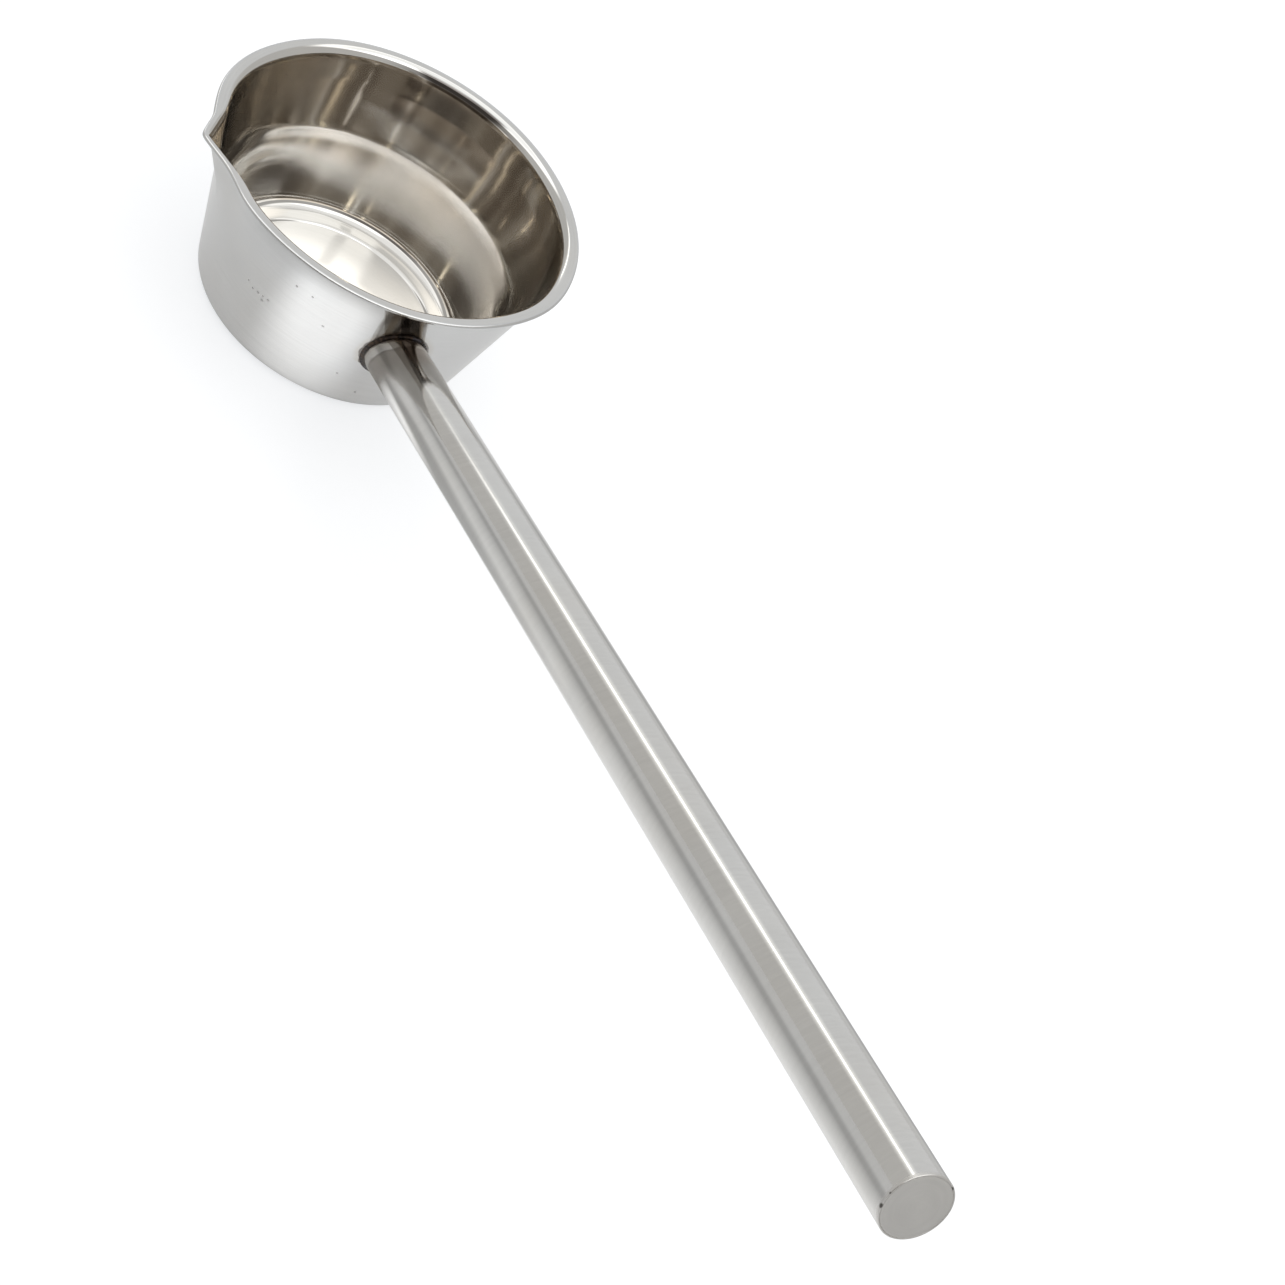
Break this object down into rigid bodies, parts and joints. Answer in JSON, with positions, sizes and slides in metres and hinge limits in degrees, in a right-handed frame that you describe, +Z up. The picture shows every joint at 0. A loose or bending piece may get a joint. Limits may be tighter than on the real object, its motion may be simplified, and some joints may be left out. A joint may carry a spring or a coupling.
{
  "type": "water dipper",
  "caption": "Stainless steel water dipper: a tapered round cup with a folded lip and a small pinched pouring spout, and a long straight tube handle welded to its side at a slant",
  "frame": {"origin": "centre of the cup's flat foot, on the plane the cup stands on", "axes": "+Z up along the cup's axis; +X towards the handle, which rises from the wall; +Y away from the pouring spout, which points to -Y"},
  "size_m": [0.5867, 0.1541, 0.2078],
  "materials": {
    "cup_steel": "bright satin, drawn sheet",
    "tube_steel": "bright satin, drawn tube",
    "disc_steel": "dull satin, blanked sheet",
    "ground_weld": "weld ground level, with small dark pits",
    "heat_tinted_weld": "dark brown heat tint"
  },
  "bodies": {
    "root": {"cup_shell": "cup_steel", "handle_tube": "tube_steel", "handle_end_disc": "disc_steel", "end_disc_weld": "ground_weld", "cup_weld_bead": "heat_tinted_weld"}
  },
  "joints": []
}
